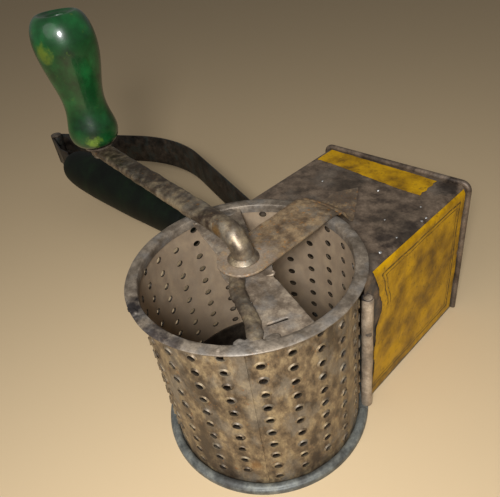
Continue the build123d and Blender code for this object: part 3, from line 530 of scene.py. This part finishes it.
def makeTeeth(settings):
    halfWide = settings["holeWidth"] / 2
    halfHigh = settings["holeHeight"] / 2
    bpy.ops.object.select_all(action="DESELECT")
    bpy.ops.mesh.primitive_circle_add(vertices=settings["segments"], radius=1 * mm)
    model = bpy.context.object
    bpy.ops.object.mode_set(mode="EDIT")
    bpy.ops.mesh.select_mode(type="VERT")
    bpy.ops.mesh.select_all(action="SELECT")
    wide, high, out = 1.0, 1.0, 0.0
    for index, (beyond, outwards) in enumerate(settings["rings"]):
        if index:
            bpy.ops.mesh.extrude_region_move(TRANSFORM_OT_translate={"value": (0, 0, (outwards - out) * mm)})
        else:
            bpy.ops.transform.translate(value=(0, 0, outwards * mm))
        scale = ((halfWide + beyond) / wide, (halfHigh + beyond) / high, 1)
        bpy.ops.transform.resize(value=scale, center_override=(0, 0, outwards * mm))
        wide, high, out = halfWide + beyond, halfHigh + beyond, outwards
    bpy.ops.mesh.select_all(action="DESELECT")
    bpy.ops.mesh.select_non_manifold()
    bpy.ops.mesh.bridge_edge_loops()
    bpy.ops.mesh.select_all(action="SELECT")
    bpy.ops.mesh.normals_make_consistent(inside=False)
    leaveEdit()
    bpy.ops.object.transform_apply(location=True, rotation=True, scale=True)
    chance = Random(settings["seed"])
    spacing = (360 - settings["seamGap"]) / (settings["columns"] - 1)
    # painted shade: the throat of each hole is marked fully dark, its inner lip partly
    holeShade = model.data.attributes.new("holeShade", "FLOAT", "POINT")
    for index, vertex in enumerate(model.data.vertices):
        away = Vector((vertex.co.x / halfWide, vertex.co.y / halfHigh)).length / mm
        deep = vertex.co.z < 0 and away < settings["holeShadeReach"]
        holeShade.data[index].value = 1.0 if deep else settings["lipShade"] if away < 1.0 else 0.0
    copies = []
    for column in range(settings["columns"]):
        angle = radians(settings["firstAngle"] + column * spacing)
        outward = Vector((cos(angle), sin(angle), 0))
        sideways = Vector((-sin(angle), cos(angle), 0))
        top = settings["topLow"] + (column % settings["stagger"]) * settings["pitch"] / settings["stagger"]
        for row in range(settings["rows"]):
            level = (top - row * settings["pitch"]) * mm
            place = outward * settings["wallRadius"] * mm + Vector((0, 0, level))
            turn = Matrix((sideways, Vector((0, 0, 1)), outward)).transposed().to_4x4()
            copy = bpy.data.objects.new("tooth", model.data.copy())
            bpy.context.scene.collection.objects.link(copy)
            height = chance.uniform(*settings["heights"])
            tears = chance.uniform(0, tau)
            lobes = chance.choice(settings["lobes"])
            for vertex in copy.data.vertices:
                if vertex.co.z > 0.1 * mm:
                    bearing = Vector((vertex.co.x, vertex.co.y)).angle_signed(Vector((1, 0)))
                    ragged = 1 + settings["tear"] * sin(lobes * bearing + tears)
                    ragged += chance.uniform(-settings["nick"], settings["nick"])
                    vertex.co.z *= height * ragged
            copy.data.transform(Matrix.Translation(place) @ turn)
            copies.append(copy)
    bpy.data.objects.remove(model)
    pick(copies[0])
    for copy in copies:
        copy.select_set(True)
    bpy.ops.object.join()
    piece = bpy.context.object
    smooth(piece, 50)
    return piece


handOver(makeTeeth(teeth), "gratingTeeth", "teeth", "drum")

# Lap seam of the wall: the outer sheet rises gently over the inner one and ends in a step
seam = {"from": -55.0, "to": -45.6, "steps": 16, "bottom": 1.0, "top": 79.8, "radius": 41.4, "lap": 0.5,
        "sunk": 0.12, "clear": 0.02, "rise": 0.4}


# A strip with one section all along an arc round the drum's axis: the section is drawn as a ring and spun
def spun(section, fromAngle, toAngle, steps):
    bpy.ops.object.select_all(action="DESELECT")
    bpy.ops.mesh.primitive_circle_add(vertices=len(section), radius=mm)
    piece = bpy.context.object
    start = radians(fromAngle)
    for vertex, (radius, height) in zip(piece.data.vertices, section):
        vertex.co = Vector((radius * cos(start), radius * sin(start), height)) * mm
    editAll(piece)
    # the operator turns the other way round for a positive angle
    bpy.ops.mesh.spin(steps=steps, angle=radians(fromAngle - toAngle), center=(0, 0, 0), axis=(0, 0, 1))
    bpy.ops.mesh.select_all(action="DESELECT")
    bpy.ops.mesh.select_non_manifold()
    bpy.ops.mesh.edge_face_add()
    bpy.ops.mesh.select_all(action="SELECT")
    bpy.ops.mesh.fill_holes(sides=0)
    bpy.ops.mesh.normals_make_consistent(inside=False)
    leaveEdit()
    return piece


def makeSeam(settings):
    inner = settings["radius"] - settings["sunk"]
    outer = settings["radius"] + settings["lap"]
    section = [(inner, settings["bottom"]), (outer, settings["bottom"]), (outer, settings["top"]),
               (inner, settings["top"])]
    piece = spun(section, settings["from"], settings["to"], settings["steps"])
    for vertex in piece.data.vertices:
        flat = Vector((vertex.co.x, vertex.co.y))
        if flat.length > settings["radius"] * mm:
            angle = degrees(atan2(flat.y, flat.x))
            share = (angle - settings["from"]) / (settings["to"] - settings["from"])
            flat.length = (settings["radius"] + settings["clear"] + settings["rise"] * share ** 2) * mm
            vertex.co.x, vertex.co.y = flat
    smooth(piece, 40)
    return piece


handOver(makeSeam(seam), "wallLapSeam", "drum", "drum")

# Rim: a flanged ring, its outer edge turned, dulled with solder and a little out of true
rim = {"profile": [(77.4, 40.45), (77.4, 40.85), (80.1, 40.88), (80.3, 41.3), (80.36, 44.2), (80.3, 44.7),
                   (80.5, 45.05), (80.9, 45.12), (81.2, 44.8), (81.22, 43.2), (81.12, 41.6), (81.0, 40.75),
                   (80.6, 40.5), (79.0, 40.45)], "segments": 160, "wave": 11, "waveDepth": 0.22,
       "waveSeed": 1, "pit": 2.2, "pitDepth": 0.09, "pitSeed": 2}
rimRing = turned(rim["profile"], (0, 0, 0), rim["segments"], closed=True)
uneven(rimRing, rim["wave"], rim["waveDepth"], rim["waveSeed"])
uneven(rimRing, rim["pit"], rim["pitDepth"], rim["pitSeed"])
smooth(rimRing, 50)
handOver(rimRing, "rimRing", "rim", "drum", ["drum_rim"])

# Foot ring: a heavy zinc-coated roll on the pan, from bead to bead round the drum's foot
footRing = {"section": [(41.75, 0.65), (41.78, 2.0), (42.1, 2.75), (42.8, 3.15), (43.7, 3.2), (44.6, 2.8),
                        (45.25, 1.9), (45.5, 0.9), (45.4, 0.65)], "from": -203.0, "to": 30.0, "steps": 120,
            "wave": 9, "depth": 0.22, "seed": 12}
footRoll = spun(footRing["section"], footRing["from"], footRing["to"], footRing["steps"])
uneven(footRoll, footRing["wave"], footRing["depth"], footRing["seed"])
smooth(footRoll, 50)
handOver(footRoll, "footRing", "foot", "frame")

# Web across the open end, its edges dressed round
web = {"voxel": 0.28, "rounds": 2, "wave": 7, "depth": 0.16, "seed": 3, "angle": -26, "waist": 7.2,
       "hub": 13.0, "squeeze": 0.45}


def makeWeb(settings):
    piece = worked("drum_web", settings)
    along = Vector((cos(radians(settings["angle"])), sin(radians(settings["angle"])), 0))
    across = Vector((-along.y, along.x, 0))
    for vertex in piece.data.vertices:  # the hub hardly shows past the strap's eye
        side = vertex.co.dot(across)
        extra = abs(side) / mm - settings["waist"]
        if extra > 0 and abs(vertex.co.dot(along)) < settings["hub"] * mm:
            vertex.co -= across * extra * mm * (1 - settings["squeeze"]) * (1 if side > 0 else -1)
    smooth(piece, 60)
    return piece


handOver(makeWeb(web), "endWeb", "web", "drum", ["drum_web"])


runFineness = {"round": 6, "along": 16}


# A soldered run or bent wire: a smooth line through points, each with its own radius, skinned and made uneven
def makeRun(settings):
    points = settings["points"]
    curve = bpy.data.curves.new("run", "CURVE")
    curve.dimensions = "3D"
    curve.bevel_depth = mm
    curve.bevel_resolution = runFineness["round"]
    curve.resolution_u = runFineness["along"]
    curve.use_fill_caps = True
    spline = curve.splines.new("NURBS")
    spline.points.add(len(points) - 1)
    for point, (x, y, z, radius) in zip(spline.points, points):
        point.co = (x * mm, y * mm, z * mm, 1)
        point.radius = radius
    spline.order_u = 3
    spline.use_endpoint_u = True
    piece = bpy.data.objects.new("run", curve)
    bpy.context.scene.collection.objects.link(piece)
    pick(piece)
    bpy.ops.object.convert(target="MESH")
    piece = bpy.context.object
    editAll(piece)
    bpy.ops.mesh.remove_doubles(threshold=merge)
    bpy.ops.mesh.normals_make_consistent(inside=False)
    leaveEdit()
    level = points[0][2] * mm
    for vertex in piece.data.vertices:
        vertex.co.z = level + (vertex.co.z - level) * settings["flat"]
    uneven(piece, settings["wave"], settings["depth"], settings["seed"])
    smooth(piece, 60)
    return piece


# The crank's leg: a flattened finger from the rod to the rim, thickly coated with solder
leg = {"points": [(-0.6, 0.4, 81.0, 3.4), (1.6, -3.6, 80.9, 3.4), (5.2, -9.4, 80.7, 2.9),
                  (9.9, -13.3, 80.6, 2.95), (16.5, -16.3, 80.6, 2.7), (24.0, -20.0, 80.5, 2.75),
                  (29.8, -24.9, 80.5, 2.9), (31.2, -26.2, 80.4, 1.2)], "wave": 1.7, "depth": 0.4,
       "flat": 0.56, "seed": 4}
handOver(makeRun(leg), "solderedLeg", "crank", "drum")

# Crank rod above its leg: hammered, its edges worn round
rod = {"voxel": 0.36, "rounds": 3, "wave": 4.5, "depth": 0.3, "seed": 5, "legTop": 82.75, "neckTop": 84.3,
       "neckPlay": 0.3,
       "neckRing": (84, 86)}  # between these heights the solid has a ring of vertices at the rod's radius


def makeRod(settings):
    piece = worked("crank", settings)
    editAll(piece)
    bpy.ops.mesh.bisect(plane_co=(0, 0, settings["legTop"] * mm), plane_no=(0, 0, 1), clear_inner=True,
                        use_fill=True)
    leaveEdit()
    low, high = settings["neckRing"]
    ring = [v.co for v in nodes["crank"].data.vertices if low * mm < v.co.z < high * mm]
    radius = min(Vector((place.x, place.y)).length for place in ring)
    for vertex in piece.data.vertices:  # the neck runs free in the strap's eye
        across = Vector((vertex.co.x, vertex.co.y))
        if vertex.co.z < settings["neckTop"] * mm and across.length > radius - settings["neckPlay"] * mm:
            across.length = radius - settings["neckPlay"] * mm
            vertex.co.x, vertex.co.y = across
    smooth(piece, 60)
    return piece


handOver(makeRod(rod), "crankRod", "crank", "drum", ["crank"])

# Collar on the strap's eye: a soldered fillet round the rod
collar = {"profile": [(83.46, 4.3), (83.46, 5.9), (83.75, 6.05), (84.15, 5.7), (84.6, 5.1), (85.0, 4.75),
                      (85.3, 4.3)], "segments": 72, "wave": 3, "depth": 0.22, "seed": 6}
collarRing = turned(collar["profile"], (0, 0, 0), collar["segments"], closed=True)
uneven(collarRing, collar["wave"], collar["depth"], collar["seed"])
smooth(collarRing, 50)
handOver(collarRing, "shaftCollar", "crank", "drum", ["shaft_collar"])

# Solder runs where the web and the leg meet the rim: x, y, z, then reach along x, y and z, mm
solder = {"beads": [(31.6, -26.4, 80.6, 4.2, 3.0, 1.0), (34.2, -22.0, 80.3, 2.6, 3.6, 0.7),
                    (28.3, -29.3, 80.4, 3.4, 2.4, 0.8), (-32.0, 22.6, 80.0, 3.0, 3.6, 0.5),
                    (-38.0, 10.5, 80.0, 2.0, 3.2, 0.5), (-13.4, -41.8, 80.9, 3.0, 1.2, 0.5),
                    (24.5, -35.0, 80.8, 2.6, 1.7, 0.55)], "voxel": 0.34, "wave": 1.6, "depth": 0.4,
          "seed": 7}


def makeSolder(settings):
    bpy.ops.object.select_all(action="DESELECT")
    drops = []
    for x, y, z, long, wide, high in settings["beads"]:
        bpy.ops.mesh.primitive_ico_sphere_add(subdivisions=4, radius=mm, location=(x * mm, y * mm, z * mm))
        drop = bpy.context.object
        drop.scale = (long, wide, high)
        drops.append(drop)
    for drop in drops:
        drop.select_set(True)
    bpy.ops.object.join()
    bpy.ops.object.transform_apply(location=True, rotation=True, scale=True)
    piece = bpy.context.object
    applyModifier(piece, "REMESH", mode="VOXEL", voxel_size=settings["voxel"] * mm, use_smooth_shade=True)
    uneven(piece, settings["wave"], settings["depth"], settings["seed"])
    smooth(piece, 60)
    return piece


handOver(makeSolder(solder), "rimSolder", "rim", "drum")

# Curl of torn sheet at the web's hub
curl = {"points": [(10.8, 0.2, 79.9, 0.3), (12.0, 0.9, 80.2, 0.5), (12.9, 1.9, 80.5, 0.5),
                   (12.6, 2.9, 80.7, 0.45), (11.7, 2.8, 80.9, 0.35)], "wave": 1.0, "depth": 0.1,
        "flat": 1.0, "seed": 8}
handOver(makeRun(curl), "webCurl", "web", "drum")

# Bearing strap: springy sheet arched over the rim, its foot soldered down thin on the hopper's top
strap = {
    "voxel": 0.3, "rounds": 2, "wave": 9, "depth": 0.4, "seed": 9, "thin": 0.25,
    "folded": [(0, 82.9), (47.4, 82.9), (50.6, 73.7), (77.7, 73.7)],  # the solid's middle line: y, z
    "arched": [(-12, 82.9), (0, 82.9), (28, 82.9), (38, 83.0), (44.5, 82.55), (48.6, 80.9), (51.2, 77.7),
               (53.2, 75.0), (56.5, 73.8), (62, 73.7), (70, 73.7), (77.7, 73.7), (85, 73.7)],
    "bendFrom": 28.0, "footFrom": 58.5,
    "crestRadius": 36.0, "crest": [(30, 0), (45, 1), (54, 1), (62, 0)],  # how much of the crest's round at y
}


# Value at a place in a table of (place, value), eased between its lines
def between(table, at):
    for (low, before), (high, after) in zip(table, table[1:]):
        if at <= high:
            share = (at - low) / (high - low)
            share = max(share, 0)
            return before + (after - before) * share * share * (3 - 2 * share)
    return table[-1][1]


def lineRuns(points):
    points = [Vector(point) for point in points]
    runs = [0.0]
    for before, after in zip(points, points[1:]):
        runs.append(runs[-1] + (after - before).length)
    return points, runs


# Smooth line through points: place and direction at a share of the run between two of them
def smoothAt(points, index, share):
    before, start, end, after = points[index - 1], points[index], points[index + 1], points[index + 2]
    out = (end - before) / 2
    into = (after - start) / 2
    place = (start * (2 * share ** 3 - 3 * share ** 2 + 1) + out * (share ** 3 - 2 * share ** 2 + share)
             + end * (3 * share ** 2 - 2 * share ** 3) + into * (share ** 3 - share ** 2))
    heading = (start * (6 * share ** 2 - 6 * share) + out * (3 * share ** 2 - 4 * share + 1)
               + end * (6 * share - 6 * share ** 2) + into * (3 * share ** 2 - 2 * share))
    return place, heading.normalized()


def makeStrap(settings):
    piece = worked("bearing_strap", settings)
    folded, foldedRuns = lineRuns(settings["folded"])
    arched, archedRuns = lineRuns(settings["arched"])
    first = archedRuns[1]
    stretch = (archedRuns[-2] - first - settings["bendFrom"]) / (foldedRuns[-1] - settings["bendFrom"])
    for vertex in piece.data.vertices:
        at = Vector((vertex.co.y, vertex.co.z)) / mm
        if at.x < settings["bendFrom"]:
            continue
        best = None
        for index, (start, end) in enumerate(zip(folded, folded[1:])):
            ahead = (end - start).normalized()
            run = min(max((at - start).dot(ahead), 0), (end - start).length)
            off = at - start - ahead * run
            if best is None or off.length < best[0]:
                best = (off.length, foldedRuns[index] + run, off.dot(Vector((-ahead.y, ahead.x))))
        run = settings["bendFrom"] + (best[1] - settings["bendFrom"]) * stretch + first
        index = max(i for i in range(1, len(arched) - 2) if archedRuns[i] <= run or i == 1)
        share = (run - archedRuns[index]) / (archedRuns[index + 1] - archedRuns[index])
        place, heading = smoothAt(arched, index, share)
        above = best[2]
        if best[1] > settings["footFrom"]:
            above = (above + 0.5) * settings["thin"] - 0.5
        place += Vector((-heading.y, heading.x)) * above
        across = min(abs(vertex.co.x) / mm, settings["crestRadius"] - 1)
        sag = settings["crestRadius"] - (settings["crestRadius"] ** 2 - across ** 2) ** 0.5
        place.x -= sag * between(settings["crest"], place.x)
        vertex.co.y, vertex.co.z = place * mm
    smooth(piece, 60)
    return piece


handOver(makeStrap(strap), "bearingStrap", "strap", "frame", ["bearing_strap"])
# Wired edges of the hopper beside the drum: rolled round, painted pale to stand in for the light they catch,
# dented a little
beads = {"places": [(36.2, 26.5), (-42.5, 20.5)], "low": 0.75, "high": 64.15, "rings": 28, "segments": 24,
         "radius": 2.34, "end": 1.5, "round": 0.5, "draw": 0.15, "wave": 5, "depth": 0.22, "seed": 14}


def makeBeads(settings):
    rows = settings["rings"]
    rise = (settings["high"] - settings["low"]) / rows
    profile = [(settings["low"] + rise * row, settings["radius"]) for row in range(rows)]
    profile += [(settings["high"] - settings["round"], settings["radius"] - settings["draw"]),
                (settings["high"], settings["end"])]
    pieces = [turned(profile, (*place, 0), settings["segments"]) for place in settings["places"]]
    pick(pieces[0])
    for piece in pieces:
        piece.select_set(True)
    bpy.ops.object.join()
    piece = bpy.context.object
    uneven(piece, settings["wave"], settings["depth"], settings["seed"])
    smooth(piece, 60)
    return piece


handOver(makeBeads(beads), "frontBeads", "bead", "frame")

# Solder drops spattered on the hopper's top
drops = {
    "places": [(5.0, 80.5, 0.62), (33.2, 69.3, 0.6), (33.5, 72.2, 0.5), (31.1, 53.9, 0.5), (31.2, 42.0, 0.75),
               (20.4, 62.0, 0.4), (27.5, 78.5, 0.42), (-22.0, 74.0, 0.5)],  # x, y, radius
    "deck": 73.2, "flat": 0.55, "wave": 0.5, "depth": 0.15, "seed": 15,
}


def makeDrops(settings):
    pieces = []
    for x, y, radius in settings["places"]:
        bpy.ops.mesh.primitive_ico_sphere_add(subdivisions=3, radius=radius * mm,
                                              location=(x * mm, y * mm, settings["deck"] * mm))
        bpy.context.object.scale = (1, 1, settings["flat"])
        pieces.append(bpy.context.object)
    pick(pieces[0])
    for piece in pieces:
        piece.select_set(True)
    bpy.ops.object.join()
    bpy.ops.object.transform_apply(location=True, rotation=True, scale=True)
    piece = bpy.context.object
    uneven(piece, settings["wave"], settings["depth"], settings["seed"])
    smooth(piece, 60)
    return piece


handOver(makeDrops(drops), "solderDrops", "solder", "frame")
print("stage 3: drum and crank made")

# Knob: turned, enamelled, a little worn. Heights and radii follow its outline in the photograph.
knob = {"axis": (-117.5396, 13.3919, 0),
        "profile": [(96.2, 2.7), (96.2, 6.6), (96.9, 8.3), (98.2, 9.9), (100.0, 11.2), (102.2, 11.9),
                    (104.6, 12.05), (107.4, 11.6), (110.8, 10.7), (114.6, 10.0), (118.4, 9.8),
                    (122.2, 10.15), (126.4, 11.0), (130.8, 12.1), (135.4, 13.15), (140.0, 13.95),
                    (144.4, 14.35), (148.4, 14.25), (151.8, 13.7), (154.6, 12.85), (156.8, 11.7),
                    (158.3, 10.2), (158.9, 8.9), (158.8, 8.2), (158.1, 7.4), (157.7, 5.4), (157.3, 4.8),
                    (154.72, 4.7), (154.72, 2.7), (126.0, 2.7)], "segments": 96, "wave": 16, "depth": 0.35,
        "seed": 10}
knobTurning = turned(knob["profile"], knob["axis"], knob["segments"], closed=True)
applyModifier(knobTurning, "SUBSURF", levels=1, render_levels=1)
uneven(knobTurning, knob["wave"], knob["depth"], knob["seed"])
smooth(knobTurning, 60)
handOver(knobTurning, "turnedKnob", "knob", "knob", ["crank_knob"])

# Grip: turned and painted, thicker in the palm, with a bead at each end
grip = {"axis": (-249.0, 49.0, 32.0),
        "profile": [(0, 7.6), (0.7, 9.2), (2.2, 10.6), (5.0, 11.9), (9.0, 12.9), (16.0, 13.9), (28.0, 14.8),
                    (44.0, 15.3), (62.0, 15.4), (82.0, 15.0), (102.0, 14.3), (120.0, 13.7), (136.0, 13.1),
                    (144.0, 12.7), (145.4, 12.1), (146.4, 12.1), (147.6, 12.8), (150.5, 12.9),
                    (152.4, 12.3), (153.6, 10.9), (154.0, 8.8)], "segments": 72, "wave": 18, "depth": 0.4,
        "seed": 11}
gripTurning = turned(grip["profile"], grip["axis"], grip["segments"], turn=(0, pi / 2, 0))
applyModifier(gripTurning, "SUBSURF", levels=1, render_levels=1)
uneven(gripTurning, grip["wave"], grip["depth"], grip["seed"])
smooth(gripTurning, 60)
handOver(gripTurning, "turnedGrip", "grip", "frame", ["grip"])

# Lever and bracket: sheared strip, its edges dressed round
lever = {"edge": 0.22, "angle": 50}


def dressed(nodeName, settings):
    piece = bpy.data.objects.new(nodeName + "Copy", nodes[nodeName].data.copy())
    bpy.context.scene.collection.objects.link(piece)
    editAll(piece)
    bpy.ops.mesh.remove_doubles(threshold=merge)
    bpy.ops.mesh.dissolve_limited(angle_limit=radians(0.5))
    leaveEdit()
    applyModifier(piece, "BEVEL", width=settings["edge"] * mm, segments=2, limit_method="ANGLE",
                  angle_limit=radians(settings["angle"]))
    smooth(piece, 40)
    return piece


handOver(dressed("press_lever", lever), "springLever", "spring", "lever", ["press_lever"])
handOver(dressed("hinge_bracket", lever), "hingeBracket", "bar", "frame", ["hinge_bracket"])
handOver(dressed("handle_tang", lever), "handleTang", "bar", "frame", ["handle_tang"])
print("stage 4: knob, grip and lever made")


# Paper labels: thin sheets that follow the box, torn at the edges, cockled and lifting a little
sideLabel = {"near": [(2, 31.0), (11.6, 31.2), (20, 32.4), (26.9, 31.9), (39.7, 33.3), (51.3, 37.3),
                      (60, 35.0), (72, 31.4)], "far": [(2, 101.6), (30, 102.3), (55, 101.9), (72, 102.3)],
             "bottom": 2.0, "wallTop": 69.7, "cornerRadius": 3.5, "wrap": 42, "wall": 35.4, "cockle": 7,
             "lift": 0.3, "torn": 0.5, "tornBelow": 49, "glue": 0.06, "edgeLift": 0.35, "edgeReach": 1.6}
topLabel = {
    "near": [(-38.1, 90.6), (22.6, 86.2)], "far": [(-38.1, 102.5), (10, 101.6), (22.6, 100.7)], "left": -38.1,
    "right": 22.6, "deck": 73.2, "cockle": 6, "lift": 0.2, "torn": 0.45, "glue": 0.06,
}


def placeSide(settings, u, v):
    corner = settings["cornerRadius"] * radians(settings["wrap"])
    run = settings["bottom"] + (settings["wallTop"] - settings["bottom"] + corner) * v
    near = between(settings["near"], run) + settings["torn"] * noise.noise(Vector((0, 0,
                                                                                   run / 1.7))) * (1 - u)
    far = between(settings["far"], run) + settings["torn"] * noise.noise(Vector((5, 0, run / 1.9))) * u
    y = near + (far - near) * u
    lift = settings["glue"] + settings["lift"] * (noise.noise(Vector((y, run,
                                                                      3)) / settings["cockle"]) + 0.55)
    lift += settings["edgeLift"] * exp(-(y - near) / settings["edgeReach"])
    inset = min(run - settings["bottom"], settings["bottom"] + settings["wallTop"] + corner - 2 - run,
                far - y)
    if run > settings["tornBelow"]:
        inset = min(inset, y - near)
    over = max(run - settings["wallTop"], 0) / settings["cornerRadius"]
    reach = settings["cornerRadius"] + lift
    x = settings["wall"] - settings["cornerRadius"] + reach * cos(over)
    z = run if over == 0 else settings["wallTop"] + reach * sin(over)
    return Vector((x, y, z)) * mm, inset * mm


def placeTop(settings, u, v):
    x = settings["left"] + (settings["right"] - settings["left"]) * u
    near = between(settings["near"], x) + settings["torn"] * noise.noise(Vector((x / 1.6, 0, 7)))
    far = between(settings["far"], x) + 0.4 * settings["torn"] * noise.noise(Vector((x / 1.6, 4, 7)))
    y = near + (far - near) * v
    x += 2.2 * settings["torn"] * noise.noise(Vector((9, y / 2.5, 7))) * u
    lift = settings["glue"] + settings["lift"] * (noise.noise(Vector((x, y, 8)) / settings["cockle"]) + 0.6)
    return Vector((x, y, settings["deck"] + lift)) * mm, 1


paperThickness = 0.14 * mm


def makeLabel(settings, place, across, along, outward):
    bpy.ops.object.select_all(action="DESELECT")
    bpy.ops.mesh.primitive_grid_add(x_subdivisions=across, y_subdivisions=along, size=1)
    piece = bpy.context.object
    bpy.ops.object.mode_set(mode="EDIT")
    bpy.ops.mesh.select_all(action="SELECT")
    bpy.ops.transform.translate(value=(0.5, 0.5, 0))
    leaveEdit()
    inset = piece.data.attributes.new("inset", "FLOAT", "POINT")
    for index, vertex in enumerate(piece.data.vertices):
        vertex.co, inset.data[index].value = place(settings, vertex.co.x, vertex.co.y)
    if piece.data.polygons[0].normal.dot(Vector(outward)) < 0:
        editAll(piece)
        bpy.ops.mesh.flip_normals()
        leaveEdit()
    applyModifier(piece, "SOLIDIFY", thickness=paperThickness, offset=1)
    smooth(piece, 40)
    return piece


handOver(makeLabel(sideLabel, placeSide, 110, 100, (1, 0, 0)), "sideLabel", "label", "frame",
         ["side_label"])
handOver(makeLabel(topLabel, placeTop, 96, 24, (0, 0, 1)), "topLabel", "label", "frame",
         ["top_label"])
print("stage 5: labels made")

# Floor: plain and pale
floor = {"size": 6.0, "colour": "c9b18c", "roughness": 0.8}
bpy.ops.object.select_all(action="DESELECT")
bpy.ops.mesh.primitive_plane_add(size=floor["size"], location=(0, 0, 0))
table = bpy.context.object
table.name = "table"
floorMaterial, _, floorShader, _ = startMaterial("pale matt table")
floorShader.inputs["Base Color"].default_value = linear(floor["colour"])
floorShader.inputs["Roughness"].default_value = floor["roughness"]
table.data.materials.append(floorMaterial)
